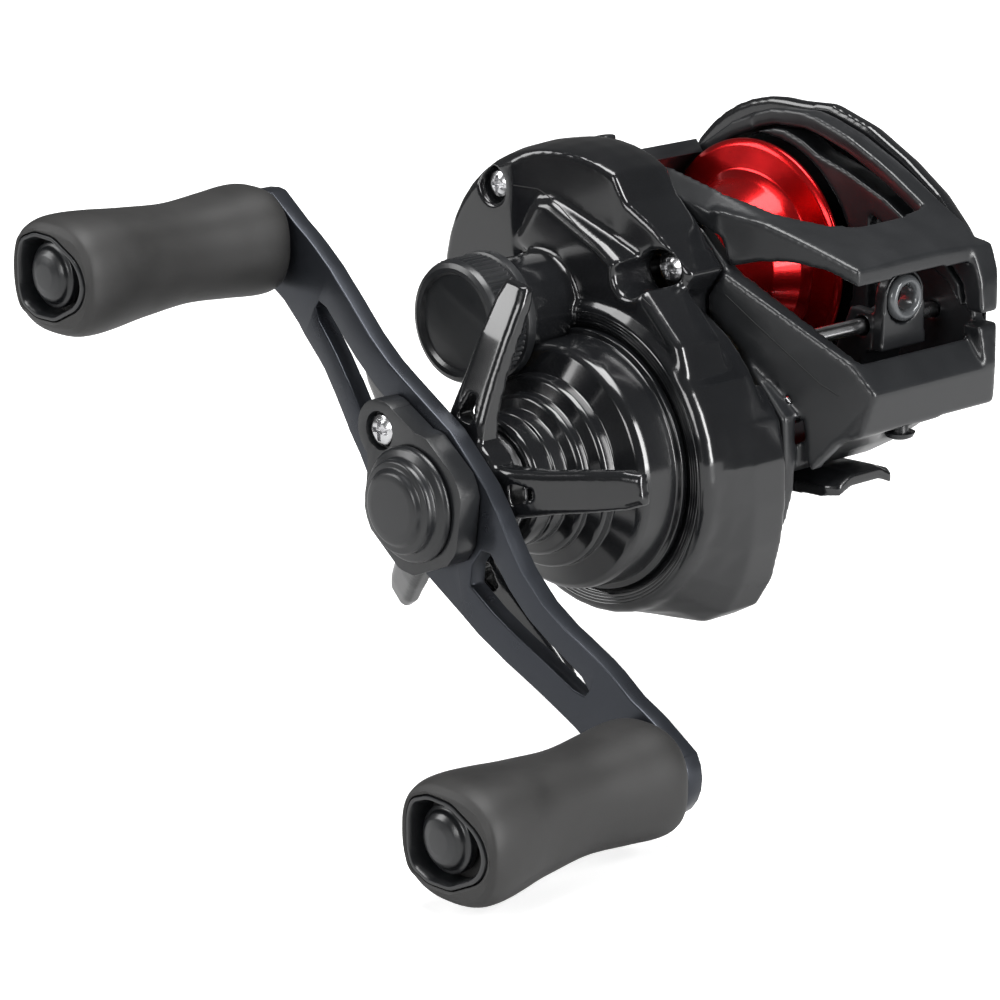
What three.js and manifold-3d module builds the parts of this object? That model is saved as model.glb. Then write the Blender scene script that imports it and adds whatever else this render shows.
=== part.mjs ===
// Low-profile baitcasting reel, right-hand retrieve, in millimetres, +Z up.
// +X points along the rod to its tip, +Y to the palm side, and the handle is on the -Y side.
// The origin is the middle of the reel foot's flat underside.

import * as THREE from 'three';
import Module from 'manifold-3d';

const wasm = await Module();
wasm.setup();

// ---------- driving dimensions ----------

const gap = 0.3;                                    // clearance between touching pieces
const drive = { x: 8, z: 5.5 };                     // handle and drive gear axis
const spoolAxis = { x: -2, z: 24 };                 // spool and pinion axis
const wormAxis = { x: 21.6, z: 10.6 };              // level-wind screw
const guideBar = { x: 27, z: 21.4, r: 1.05 };       // polished bar the line guide slides on
const footSize = { length: 59, width: 12.3, thickness: 2.4 };
const flangeRadius = 16.3;
const spoolEnds = { near: -11.1, far: 11.8 };
const drumRadius = 20.6;                            // round boss of the handle side cover
const drumFace = -28.6;
const coverSeam = -14.6;                            // where the handle side cover meets the frame
const nearWall = { outer: -14.3, inner: -12.1 };
const farWall = { inner: 12.9, outer: 17 };
const palmSeam = 17.3;
const palmFace = 23;
const handleAngle = 143;                            // degrees from +X towards +Z
const knobReach = 45;                               // hub to knob axis
const capFace = -63.2;                              // outermost face of the handle nut cap
const armHub = -56;                                 // outer face of the handle arm at its hub
const armTip = -52.8;                               // outer face of the arm at the knobs
const armThickness = 2.6;
const shaftRadius = 3;
const spindleRadius = 1.05;
const gearTeeth = 63;
const pinionTeeth = 10;
const axisDistance = Math.hypot(drive.x - spoolAxis.x, drive.z - spoolAxis.z);
const gearModule = (2 * axisDistance) / (gearTeeth + pinionTeeth);
const gearFace = { outer: -19.4, inner: -17 };
const idlerTeeth = 40;
const wormGearTeeth = 14;
const idlerDistance = Math.hypot(drive.x - wormAxis.x, drive.z - wormAxis.z);
const idlerModule = (2 * idlerDistance) / (idlerTeeth + wormGearTeeth);
const idlerFace = { outer: -16.6, inner: -14.8 };
const guideMiddle = 4.9;                            // line guide's place along Y at rest
const capSize = { front: -43.4, back: -36.8, radius: 8.1 };

// ---------- materials ----------

function finish(color, roughness, metalness) {
  return new THREE.MeshStandardMaterial({ color, roughness, metalness });
}

const finishes = {
  satinBlack: finish(0x1b1d20, 0.38, 0.1),
  glossBlack: finish(0x0c0d0e, 0.15, 0.1),
  anodisedBlack: finish(0x1c1f26, 0.34, 0.8),
  anodisedRed: finish(0xb0121a, 0.25, 0.9),
  rubber: finish(0x222222, 0.8, 0),
  steel: finish(0xb9bcc0, 0.25, 1),
  brass: finish(0xb08d4c, 0.3, 1),
  whitePlastic: finish(0xd8d6cc, 0.5, 0),
  ceramic: finish(0x8c8f92, 0.3, 0.2),
  carbon: finish(0x151515, 0.7, 0),
};

// ---------- solids ----------

const { CrossSection, Manifold, Mesh } = wasm;

function toGeometry(solid) {
  const mesh = solid.getMesh();
  const geometry = new THREE.BufferGeometry();
  geometry.setAttribute('position', new THREE.BufferAttribute(mesh.vertProperties, 3));
  geometry.setIndex(new THREE.BufferAttribute(mesh.triVerts, 1));
  geometry.computeVertexNormals();
  return geometry;
}

function union(...solids) {
  return solids.reduce((whole, piece) => whole.add(piece));
}

function cut(solid, ...tools) {
  return tools.reduce((whole, tool) => whole.subtract(tool), solid);
}

function section(outline, inwards = 0) {
  const whole = new CrossSection([outline], 'NonZero');
  return inwards ? whole.offset(-inwards, 'Round', 2, 16) : whole;
}

// Solid of revolution about a line parallel to Y; the profile lists [radius, y].
function turned(axis, profile, segments = 24) {
  return section(profile).revolve(segments).rotate([-90, 0, 0]).translate([axis.x, 0, axis.z]);
}

// Solid of revolution about a line parallel to X; the profile lists [radius, x].
function turnedX(axis, profile, segments = 16) {
  return section(profile).revolve(segments).rotate([0, 90, 0]).translate([0, axis.y, axis.z]);
}

function rod(axis, radius, y0, y1, segments = 16) {
  return turned(axis, [[0, y0], [radius, y0], [radius, y1], [0, y1]], segments);
}

function tube(axis, inner, outer, y0, y1, segments = 20) {
  return turned(axis, [[inner, y0], [outer, y0], [outer, y1], [inner, y1]], segments);
}

function uprightRod(centre, radius, z0, z1, segments = 14) {
  const solid = Manifold.cylinder(z1 - z0, radius, radius, segments);
  return solid.translate([centre.x, centre.y, z0]);
}

// Prism between two Y planes; the outline lists [x, z].
function slab(outline, y0, y1, inwards = 0) {
  return section(outline, inwards).extrude(y1 - y0).rotate([90, 0, 0]).translate([0, y1, 0]);
}

// Prism between two Z planes; the outline lists [x, y].
function column(outline, z0, z1) {
  return section(outline).extrude(z1 - z0).translate([0, 0, z0]);
}

function block(x0, x1, y0, y1, z0, z1) {
  return Manifold.cube([x1 - x0, y1 - y0, z1 - z0]).translate([x0, y0, z0]);
}

function fromFaces(positions, faces) {
  return new Manifold(new Mesh({
    numProp: 3,
    vertProperties: new Float32Array(positions),
    triVerts: new Uint32Array(faces),
  }));
}

// Skins rings of equal point count into a closed solid with flat ends.
function skinned(rings) {
  const count = rings[0].length;
  const positions = rings.flat(2);
  const faces = [];
  for (let ring = 0; ring < rings.length - 1; ring += 1) {
    for (let i = 0; i < count; i += 1) {
      const a = ring * count + i;
      const b = ring * count + ((i + 1) % count);
      faces.push(a, b, a + count, b, b + count, a + count);
    }
  }
  for (const end of [0, rings.length - 1]) {
    const ring = rings[end];
    const middle = positions.length / 3;
    for (let axis = 0; axis < 3; axis += 1) {
      positions.push(ring.reduce((sum, point) => sum + point[axis], 0) / count);
    }
    for (let i = 0; i < count; i += 1) {
      const a = end * count + i;
      const b = end * count + ((i + 1) % count);
      if (end === 0) faces.push(b, a, middle);
      else faces.push(a, b, middle);
    }
  }
  const solid = fromFaces(positions, faces);
  return solid.volume() > 0 ? solid : fromFaces(positions, faces.reverse());
}

// Points of an arc in the XZ plane, as [x, z].
function arc(centre, radius, from, to, steps) {
  const points = [];
  for (let i = 0; i <= steps; i += 1) {
    const angle = THREE.MathUtils.degToRad(from + ((to - from) * i) / steps);
    points.push([centre.x + radius * Math.cos(angle), centre.z + radius * Math.sin(angle)]);
  }
  return points;
}

// Moves each point of a counter-clockwise outline inwards by a distance.
function inset(outline, distance) {
  return outline.map(([x, z], i) => {
    const [ax, az] = outline[(i + outline.length - 1) % outline.length];
    const [bx, bz] = outline[(i + 1) % outline.length];
    const length = Math.hypot(bx - ax, bz - az);
    return [x - (distance * (bz - az)) / length, z + (distance * (bx - ax)) / length];
  });
}

function atY(outline, y) {
  return outline.map(([x, z]) => [x, y, z]);
}

// Outline of a spur gear: root, tip, tip and root points for each tooth.
function gearOutline(axis, teeth, module, turn, backlash) {
  const pitch = (teeth * module) / 2;
  const points = [];
  const quarter = Math.PI / (2 * teeth);
  for (let i = 0; i < teeth; i += 1) {
    const middle = turn + (i * 2 * Math.PI) / teeth;
    const steps = [
      [-1.55, pitch - 1.15 * module], [-0.55, pitch + 0.8 * module],
      [0.55, pitch + 0.8 * module], [1.55, pitch - 1.15 * module],
    ];
    for (const [offset, radius] of steps) {
      const angle = middle + offset * quarter * backlash;
      points.push([axis.x + radius * Math.cos(angle), axis.z + radius * Math.sin(angle)]);
    }
  }
  return points;
}

function hexagon(axis, acrossFlats, turn = 0) {
  return arc(axis, acrossFlats / Math.sqrt(3), turn, turn + 300, 5);
}

// ---------- assembly ----------

const reel = new THREE.Group();

function addPart(name, solid, material) {
  const mesh = new THREE.Mesh(toGeometry(solid.simplify(0.03)), material);
  mesh.name = name;
  reel.add(mesh);
}

// Pan-head cross-recess screw on a Y axis; the head faces -Y.
function crossScrew(axis, headY, headRadius, length) {
  const headHeight = headRadius * 0.55;
  const body = turned(axis, [
    [0, headY], [headRadius * 0.55, headY + 0.05], [headRadius * 0.92, headY + headHeight * 0.45],
    [headRadius, headY + headHeight], [headRadius * 0.5, headY + headHeight],
    [headRadius * 0.5, headY + length], [0, headY + length],
  ], 14);
  const slot = headRadius * 0.62;
  const half = headRadius * 0.14;
  const depth = headY + headHeight * 0.7;
  return cut(
    body,
    block(axis.x - slot, axis.x + slot, headY - 1, depth, axis.z - half, axis.z + half),
    block(axis.x - half, axis.x + half, headY - 1, depth, axis.z - slot, axis.z + slot),
  );
}

// ---------- handle side cover ----------

const coverScrews = [
  { name: 'cover_screw_rear', x: -11.8, z: 38, seat: -26.8, recess: 2.4 },
  { name: 'cover_screw_front', x: 13.4, z: 30, seat: -20.6, recess: 2.7 },
  { name: 'cover_screw_lower', x: -14.2, z: 11.6, seat: -25.2, recess: 1.7 },
];

// Flat plate of the frame that reaches forward beside the line window.
const cheekOutline = [
  [15.9, 23.2], [21.4, 18.8], [25.4, 15.6], [28.2, 12.3], [29.4, 7.2], [29.6, 4.6], [32.6, 8.2],
  [38, 15.8], [35, 19.3], [18, 29.4], [15.7, 26.2],
];

const coverFront = [
  [15.5, -15.9], [20.8, -15.3], [24.6, -13.2], [27.2, -9.2], [28.7, -3.6], [29.3, 2], [29.1, 7.2],
  [27.9, 12], [25.2, 15.2], [21.2, 18.4], [17.6, 20.9], [15.6, 23], [15.3, 26.2], [17.8, 29.9],
  [15.8, 31.6], [12.8, 35.4], [9.2, 38.4],
];

// Cover outline that closes from the full front edge (share 0) onto the drum's circle (share 1).
function coverOutlineAt(radius, share) {
  const front = coverFront.map(([x, z], i) => {
    const angle = Math.atan2(z - drive.z, x - drive.x);
    const closing = i < coverFront.length - 6 ? share : 0;
    return [
      x + (drive.x + drumRadius * Math.cos(angle) - x) * closing,
      z + (drive.z + drumRadius * Math.sin(angle) - z) * closing,
    ];
  });
  return [...arc(spoolAxis, radius, 62, 212, 18), ...arc(drive, 21 - 0.4 * share, 204, 270, 8), ...front];
}

const coverOutline = coverOutlineAt(19.8, 0);

// Upper front facet: the shell falls back from the rear screw to the hood's corner.
const facetPlan = [[-9, -40], [30, -40], [30, -15.4], [18, -20.4], [8, -24.6], [-9, -27.8]];
const facet = slab([[-9, 30], [0, 26.6], [9, 22], [16, 17], [30, 17], [30, 50], [-9, 50]], -40, -14)
  .intersect(column(facetPlan, 0, 60));

const coverShell = skinned([
  [coverSeam, 19.8, 0, 0], [-17, 20.3, 0, 0], [-20.6, 20.5, 0, 0], [-24, 20.3, 0.55, 0],
  [-26.8, 19.9, 1, 0.1], [-27.6, 19.6, 1, 0.8],
].map(([y, radius, share, step]) => atY(inset(coverOutlineAt(radius, share), step), y))).subtract(facet);

const drum = turned(drive, [
  [0, coverSeam], [drumRadius, coverSeam], [drumRadius, -27.2], [drumRadius - 0.5, -28.2],
  [drumRadius - 1.2, drumFace], [17.6, drumFace], [17.2, -28], [0, -28],
], 40);

const ridgeOutline = [
  [-7.6, 31.4], [-2.6, 28.7], [4.6, 24.6], [9.6, 21.6], [16, 12], [25.6, 13.8], [22.4, 22.6],
  [15.6, 28.9], [8, 33.6], [-1.2, 37.6], [-3.8, 37.4],
];

const ridge = skinned([
  [0, -20], [0, -26.9], [0.7, -27.8],
].map(([step, y]) => atY(inset(ridgeOutline, step), y)));

const capBoss = rod(spoolAxis, 6.8, -36, -20, 32);
const yokePins = [
  { name: 'front', x: 5.5, z: 28 },
  { name: 'rear', x: -9.5, z: 20 },
];

const coverCavity = union(
  slab(coverOutline, coverSeam - 6, coverSeam + 1, 2),
  slab(coverOutline, coverSeam - 8.3, coverSeam, 4.6).subtract(block(8.5, 40, -30, -20, 24, 60)),
  rod(drive, 19.3, -26.9, coverSeam + 1, 40),
  rod(spoolAxis, 4.7, -40, coverSeam, 32),
  rod(wormAxis, 4.7, idlerFace.outer - 0.6, coverSeam + 1, 24),
  ...yokePins.map((pin) => rod(pin, 2.2, -25.4, coverSeam, 20)),
);

function buildCover() {
  const pockets = yokePins.map((pin) => rod(pin, 3, -26.6, -20, 24));
  let cover = cut(union(coverShell, drum, ridge, capBoss, ...pockets), coverCavity);
  cover = cut(cover, rod(drive, 8.9, -30, -20, 40));
  for (const screw of coverScrews) {
    const post = rod(screw, screw.recess + 0.4, screw.seat + 1.3, coverSeam, 20);
    cover = union(cover, post.subtract(rod(screw, 1.35, -30, -10, 16)));
    cover = cut(
      cover,
      rod(screw, screw.recess, -31, screw.seat + 1.35, 24),
      rod(screw, 1.35, -30, -10, 16),
    );
  }
  const largest = cover.decompose().sort((a, b) => b.volume() - a.volume())[0];
  return cut(
    largest,
    slab(cheekOutline, coverSeam - 1.9, coverSeam + 1, -gap),
    block(-40, 40, coverSeam, -10, -30, 60),
  );
}

addPart('handle_side_cover', buildCover(), finishes.glossBlack);

for (const screw of coverScrews) {
  addPart(screw.name, crossScrew(screw, screw.seat, screw.recess - 0.5, nearWall.inner - 0.3 - screw.seat), finishes.steel);
}

// ---------- frame ----------

const footAxes = [-8, 14].map((x) => ({ x, y: 0 }));
const chinPlug = { x: 33.6, y: 1.6 };

const nearPlan = [[-30, nearWall.outer], [14, nearWall.outer], [18, -14.3], [38, -8.2]];
const farPlan = [[38, 15], [36, 17.2], [-30, 17.2]];
const frontPlan = [...nearPlan, ...farPlan];

const nearWallOutline = [
  ...arc(spoolAxis, 20, 66, 212, 16),
  ...arc(drive, 20.4, 204, 360, 15),
  [28.2, 12], [21.4, 18.4], [16, 23], [18, 29.6], [11, 36],
];

const farWallOutline = [
  ...arc(spoolAxis, 18.3, 58, 226, 18),
  [-8, 0.4], [0, -2.2], [8, -0.6], [12, 0.8], [18, 3.6], [24, 6.4], [30, 8.6], [36, 10.4], [38, 15.8],
  [36.6, 22.5], [33.6, 26.6], [28.6, 30.2], [20, 35.2], [13, 38],
];

const deckOutline = [
  [-15, 3], [24, 3], [30, 6.4], [33, 8.7], [36.2, 10.1], [38, 15.8], [35, 19.3], [33.2, 18], [33.4, 13.4],
  [29.6, 9.4], [25, 6.3], [-15, 6.3],
];

// Underside of the frame's palm half, which rises towards the front.
const farUnderside = [[10, 2.9], [18, 3.5], [24, 5.2], [30, 7.9], [33, 9.3], [36.4, 10.3], [40, 10], [40, -6], [10, -6]];

const rearBridge = [
  ...arc(spoolAxis, 20, 176, 230, 8),
  ...arc(spoolAxis, 17.4, 230, 176, 8),
];

// Height of the hood's top line over X, on the handle side and on the palm side.
const hoodNear = [[-4, 41.2], [5, 40.6], [13, 39], [21, 36.6], [27.5, 34.4], [35.2, 31.6]];
const hoodFar = [[-15, 36.8], [-8, 41.6], [-1, 44.4], [6, 44.7], [13, 42.6], [20, 39.4], [27.5, 35],
  [35.2, 31.2]];

function heightOn(line, x) {
  if (x <= line[0][0]) return line[0][1];
  const found = line.findIndex(([px]) => px >= x);
  const i = found < 0 ? line.length - 1 : found;
  const [ax, az] = line[i - 1];
  const [bx, bz] = line[i];
  return az + ((bz - az) * (x - ax)) / (bx - ax);
}

// A curved sheet that follows the hood's top, between two offsets from it.
function hoodSheet(above, below) {
  const stations = [[-14.4, -2.5], [-11.6, 0], [-6, 0], [0, 0.3], [7, 0.4], [13, 0.2], [17, -0.3]];
  return skinned(stations.map(([y, drop]) => {
    const share = THREE.MathUtils.clamp((y + 11.6) / 24.6, 0, 1);
    const top = [];
    const bottom = [];
    for (let x = -16; x <= 37; x += 2.65) {
      const z = heightOn(hoodNear, x) * (1 - share) + heightOn(hoodFar, x) * share + drop;
      top.push([x, y, z + above]);
      bottom.unshift([x, y, z - below]);
    }
    return [...top.reverse(), ...bottom.reverse()];
  }));
}

const hoodOutline = [
  [-4, -14.2], [16, -14.2], [35.2, -8.8], [35.2, 13.4], [31.4, 16.9], [-15.6, 16.9], [-15.6, 13.1],
  [-4, 13.1],
];
const hoodOpening = [
  [-30, -11.4], [14, -11.3], [21, -9], [25.6, -4.6], [27.6, -0.6], [27.8, 7], [26.8, 12.8], [-30, 12.8],
];
const panelOutline = [
  [14.6, 37.2], [22, 36.2], [28, 34.2], [34.4, 31.6], [34.4, 30.9], [31, 30.9], [26, 31.4],
  [21.5, 31], [17.6, 29.9],
];
const panelPlan = [[13, -14.2], [16, -14.2], [35, -8.9], [35, -7.3], [16, -12.6], [13, -12.6]];
const postOutline = [
  [30, 32], [35.2, 31.4], [36.8, 27], [37.3, 22.8], [34.4, 22.8], [33.6, 26.2], [30.6, 29.2],
];

function buildHood() {
  const sheet = hoodSheet(0, 2.3).intersect(column(hoodOutline, 0, 60));
  const panel = slab(panelOutline, -15, -6).intersect(column(panelPlan, 0, 60));
  const post = slab(postOutline, 12.9, 17).intersect(column(frontPlan, 0, 60));
  return cut(union(sheet, panel, post), column(hoodOpening, 30, 60));
}

const hood = buildHood();
addPart('hood', hood, finishes.satinBlack);

function buildFrame() {
  const cheekPlan = [[14, -16.2], [18, -15.3], [38, -8.2], [38, -6.6], [18, nearWall.inner],
    [14, nearWall.inner]];
  const cheek = slab(cheekOutline, -17, -5).intersect(column(cheekPlan, -30, 60));
  const near = slab(nearWallOutline, nearWall.outer, nearWall.inner);
  const far = slab(farWallOutline, farWall.inner, farWall.outer).intersect(column(frontPlan, -30, 60));
  const deck = slab(deckOutline, nearWall.inner - 2, farWall.outer).intersect(column([
    [-30, nearWall.outer], [18, nearWall.outer], [38, -8.2], ...farPlan,
  ], -30, 60));
  const rear = slab(rearBridge, nearWall.outer, farWall.outer);
  const frame = union(near, far, deck.subtract(slab(farUnderside, 6.6, farWall.outer + 1)), rear, cheek);
  const thumbSlot = slab(
    [...arc(spoolAxis, 17.8, 139, 163, 8), ...arc(spoolAxis, 16.5, 163, 139, 8)], -15, nearWall.inner + 1,
  );
  return cut(
    frame,
    rod(spoolAxis, 2.6, -20, 0),
    rod(spoolAxis, flangeRadius + 0.5, 5, farWall.outer + 1, 36),
    slab([[17.4, 3], [30, 9.6], [34, 13], [34, 22.5], [31, 26], [17.4, 33]], 5, 15),
    rod(drive, shaftRadius + gap, -20, 0),
    ...yokePins.map((pin) => rod(pin, 1.3, -20, nearWall.inner + 0.5, 16)),
    ...footAxes.map((centre) => uprightRod(centre, 1.3, 2, 7)),
    uprightRod(chinPlug, 1.5, 5, 12),
    uprightRod(chinPlug, 2.4, 5, 8.9),
    rod(wormAxis, 1.5, -20, 18, 20),
    rod(guideBar, guideBar.r + 0.05, -11.3, 16, 20),
    thumbSlot,
    hoodSheet(30, 2.7).intersect(column([[-4.5, -15], [36, -15], [36, 18], [-16.5, 18], [-16.5, 12.5],
      [-4.5, 12.5]], 0, 90)),
    slab([[30.5, 34], [40, 34], [40, 22.5], [33.9, 22.5], [33.1, 26.1], [30.2, 28.9]], 12, 19),
    block(34, 44, -20, 20, 21, 60),
    slab(panelOutline, -16, -6, -gap),
    ...coverScrews.map((screw) => rod(screw, 1.3, -20, nearWall.inner + 1, 16)),
  );
}

addPart('frame', buildFrame(), finishes.satinBlack);

// ---------- reel foot ----------

// Foot sections: x, height of the underside, thickness, half width.
const footEnd = footSize.length / 2;
const footSide = footSize.width / 2;
const footSections = [
  [footEnd, 1.2, 1.5, footSide - 1.2], [footEnd - 1.6, 1, 1.9, footSide],
  [footEnd * 0.55, 0, footSize.thickness, footSide],
];

function buildFoot() {
  const mirrored = footSections.map(([x, ...rest]) => [-x, ...rest]);
  return skinned([...mirrored, ...footSections.toReversed()].map(([x, lift, top, width]) => [
    [x, -2.6, lift], [x, 2.6, lift], [x, width, lift - 1], [x, width, lift + top - 1.2],
    [x, 2.8, lift + top], [x, -2.8, lift + top], [x, -width, lift + top - 1.2], [x, -width, lift - 1],
  ]));
}

addPart('reel_foot', cut(
  buildFoot(),
  ...footAxes.map((centre) => uprightRod(centre, 1.5, -2, 4)),
  ...footAxes.map((centre) => uprightRod(centre, 2.5, -2, 1)),
), finishes.anodisedBlack);

footAxes.forEach((centre, i) => {
  const screw = union(uprightRod(centre, 2.2, 0.15, 0.7), uprightRod(centre, 1, 0.5, 5.6));
  const socket = uprightRod(centre, 0.9, 0, 0.45, 6);
  addPart(`foot_screw_${i === 0 ? 'rear' : 'front'}`, screw.subtract(socket), finishes.steel);
});

function buildChinPlug() {
  const dome = section([[0, 7.6], [1.2, 7.7], [1.8, 8], [2.1, 8.6], [1.2, 8.6], [1.2, 11.2], [0, 11.2]]);
  return dome.revolve(24).translate([chinPlug.x, chinPlug.y, 0]);
}

// ---------- palm side ----------

const palmOutline = [
  ...arc(spoolAxis, 21.2, 84, 226, 18),
  [-8.4, 0.2], [0, -2.6], [8, -0.8], [12, 0.6], [18, 3.4], [24, 6.2], [30, 8.4], [36.2, 10.2], [38, 15.8],
  [36.9, 22.4], [34.4, 26.8], [30.7, 30.7], [25, 36.3], [19.6, 39.9], [12.8, 43.4], [6, 45.4],
];
const palmStations = [
  [0, palmSeam], [0.2, 19], [1.2, 20.9], [2.8, 22.3], [5.2, palmFace],
];
const palmPlan = [[-30, 16], [36.6, 16], [36, 16.8], [34, 17.7], [31, 19.6], [27, 21.6], [22, 23.2], [-30, 23.2]];
const dialRadius = 10.2;

function buildPalmCover() {
  const shell = skinned(palmStations.map(([step, y]) => atY(inset(palmOutline, step), y)));
  const shaped = shell.intersect(column(palmPlan, -30, 60));
  const cavityOutline = [
    ...arc(spoolAxis, 18.4, 60, 226, 14), [-7, 2.6], [0, 0.4], [8, 1.8], [18, 6], [24, 8.8], [28.6, 12],
    [29.4, 24], [25.6, 29.6], [18, 35.2],
  ];
  const cavity = slab(cavityOutline, palmSeam - 1, 19.6);
  const hub = tube(spoolAxis, 4.3, 6.4, 13.6, 20.4, 32);
  const seat = rod(spoolAxis, dialRadius + gap, 21.8, 26, 48);
  return cut(union(shaped.subtract(cavity), hub), seat, rod(spoolAxis, 2.3, 10, 26, 24));
}

function buildDial() {
  const disc = turned(spoolAxis, [
    [0, 22.1], [dialRadius, 22.1], [dialRadius, 23.6], [dialRadius - 0.7, 24.3], [7.2, 24.3],
    [6.8, 23.9], [0, 23.9],
  ], 36);
  const grip = block(spoolAxis.x - 6, spoolAxis.x + 6, 23.5, 25.4, spoolAxis.z - 1.1, spoolAxis.z + 1.1);
  const stem = rod(spoolAxis, 2, 19, 22.5, 24);
  const notches = [];
  for (let i = 0; i < 12; i += 1) {
    const angle = (i * Math.PI) / 6;
    const notch = {
      x: spoolAxis.x + (dialRadius + 0.35) * Math.cos(angle),
      z: spoolAxis.z + (dialRadius + 0.35) * Math.sin(angle),
    };
    notches.push(rod(notch, 0.8, 22.6, 26, 6));
  }
  return cut(union(disc, grip, stem), ...notches);
}

addPart('chin_plug', buildChinPlug(), finishes.satinBlack);
addPart('palm_side_cover', buildPalmCover(), finishes.glossBlack);
addPart('brake_dial', buildDial(), finishes.satinBlack);
addPart('brake_magnet_ring', tube(spoolAxis, 7, 9.4, 13.8, 16.4), finishes.steel);
addPart('spool_bearing_palm', tube(spoolAxis, spindleRadius + gap, 4, 14.2, 16.6, 24), finishes.steel);

// ---------- spool ----------

const spoolProfile = [
  [1.4, -5.4], [1.4, 6], [8.2, 6.6], [8.4, 11], [13.2, 11.4], [15.4, spoolEnds.far],
  [flangeRadius, spoolEnds.far - 0.1], [flangeRadius, 11.1], [15.6, 10.6], [12.2, 10.1], [11.2, 9],
  [9.8, 5], [9.8, -4.4], [11.2, -8.3], [12.2, -9.4], [15.6, -9.9], [flangeRadius, -10.4],
  [flangeRadius, spoolEnds.near + 0.1], [15.4, spoolEnds.near], [13.2, -10.7], [8.4, -10.3], [8.2, -6],
];
addPart('spool', turned(spoolAxis, spoolProfile, 28), finishes.anodisedRed);
addPart('spool_shaft', rod(spoolAxis, spindleRadius, -40, 17, 20), finishes.steel);

// ---------- gear train ----------

const meshAngle = Math.atan2(spoolAxis.z - drive.z, spoolAxis.x - drive.x);
const wormAngle = Math.atan2(wormAxis.z - drive.z, wormAxis.x - drive.x);
const backlash = 0.78;

function buildDriveGear() {
  const teeth = gearOutline(drive, gearTeeth, gearModule, meshAngle, backlash);
  return cut(
    slab(teeth, gearFace.outer, gearFace.inner),
    rod(drive, shaftRadius + gap, -30, 0),
    rod(drive, 13, gearFace.outer - 1, gearFace.inner - 1.2, 28),
  );
}

function buildPinion() {
  const turn = meshAngle + Math.PI + Math.PI / pinionTeeth;
  const teeth = gearOutline(spoolAxis, pinionTeeth, gearModule, turn, backlash);
  const stem = turned(spoolAxis, [
    [0, -33.2], [1.9, -33.2], [1.9, -22.6], [2.8, -22.4], [2.8, -21.7], [1.7, -21.6], [1.7, -20.2],
    [2.2, -20], [2.2, -13.2], [0, -13.2],
  ], 24);
  return cut(union(stem, slab(teeth, -20, -16.6)), rod(spoolAxis, spindleRadius + gap, -40, 0, 20));
}

function buildYoke() {
  const [front, rear] = yokePins;
  const half = 2.3;
  const along = Math.atan2(front.z - rear.z, front.x - rear.x);
  const side = { x: -Math.sin(along) * half, z: Math.cos(along) * half };
  const bar = slab([
    [rear.x - side.x, rear.z - side.z], [front.x - side.x, front.z - side.z],
    [front.x + side.x, front.z + side.z], [rear.x + side.x, rear.z + side.z],
  ], -21.3, -20.6);
  const ends = yokePins.map((pin) => rod(pin, half, -21.3, -20.6, 20));
  const collar = rod(spoolAxis, 3.8, -21.3, -20.6, 24);
  return cut(
    union(bar, collar, ...ends),
    rod(spoolAxis, 2, -30, 0, 24),
    ...yokePins.map((pin) => rod(pin, 1.25, -30, 0, 16)),
  );
}

// One closed coil spring on a Y axis.
function buildSpring(axis, radius, wire, y0, y1, turns) {
  const rings = [];
  const steps = turns * 10;
  for (let i = 0; i <= steps; i += 1) {
    const angle = (i * Math.PI) / 5;
    const middle = y0 + wire + ((y1 - y0 - 2 * wire) * i) / steps;
    const ring = [];
    for (let k = 0; k < 4; k += 1) {
      const around = (k * Math.PI) / 2;
      const reach = radius + wire * Math.cos(around);
      ring.push([
        axis.x + reach * Math.cos(angle), middle + wire * Math.sin(around), axis.z + reach * Math.sin(angle),
      ]);
    }
    rings.push(ring);
  }
  return skinned(rings);
}

addPart('drive_gear', buildDriveGear(), finishes.brass);
addPart('pinion_gear', buildPinion(), finishes.brass);
addPart('clutch_yoke', buildYoke(), finishes.whitePlastic);
for (const pin of yokePins) {
  addPart(`yoke_pin_${pin.name}`, rod(pin, 0.95, -25, nearWall.inner + 0.2, 16), finishes.steel);
  addPart(`yoke_spring_${pin.name}`, buildSpring(pin, 1.6, 0.22, -25.1, -21.6, 3), finishes.steel);
}

const idlerOutline = gearOutline(drive, idlerTeeth, idlerModule, wormAngle, backlash);
const wormTurn = wormAngle + Math.PI + Math.PI / wormGearTeeth;
const wormOutline = gearOutline(wormAxis, wormGearTeeth, idlerModule, wormTurn, backlash);

addPart('level_wind_idler', slab(idlerOutline, idlerFace.outer, idlerFace.inner)
  .subtract(rod(drive, shaftRadius + gap, -30, 0, 32)), finishes.whitePlastic);
addPart('worm_gear', slab(wormOutline, idlerFace.outer, idlerFace.inner)
  .subtract(rod(wormAxis, 1.2 + gap, -30, 0, 20)), finishes.whitePlastic);

const dragStack = [
  ['drag_washer_inner', 12.6, -18.9, -18.4, finishes.carbon],
  ['drag_washer_metal', 12.2, -19.7, -19.2, finishes.steel],
  ['drag_washer_outer', 12.6, -20.5, -20, finishes.carbon],
  ['drag_pressure_plate', 11.4, -21.8, -20.8, finishes.steel],
  ['drag_spring_washer', 6.2, -23, -22.1, finishes.steel],
];
for (const [name, radius, y0, y1, material] of dragStack) {
  addPart(name, tube(drive, shaftRadius + gap, radius, y0, y1), material);
}

function buildShaft() {
  return turned(drive, [
    [0, -60.1], [2.5, -60.1], [2.5, -53.2], [shaftRadius, -53], [shaftRadius, -12.4], [0, -12.4],
  ], 32);
}

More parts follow.
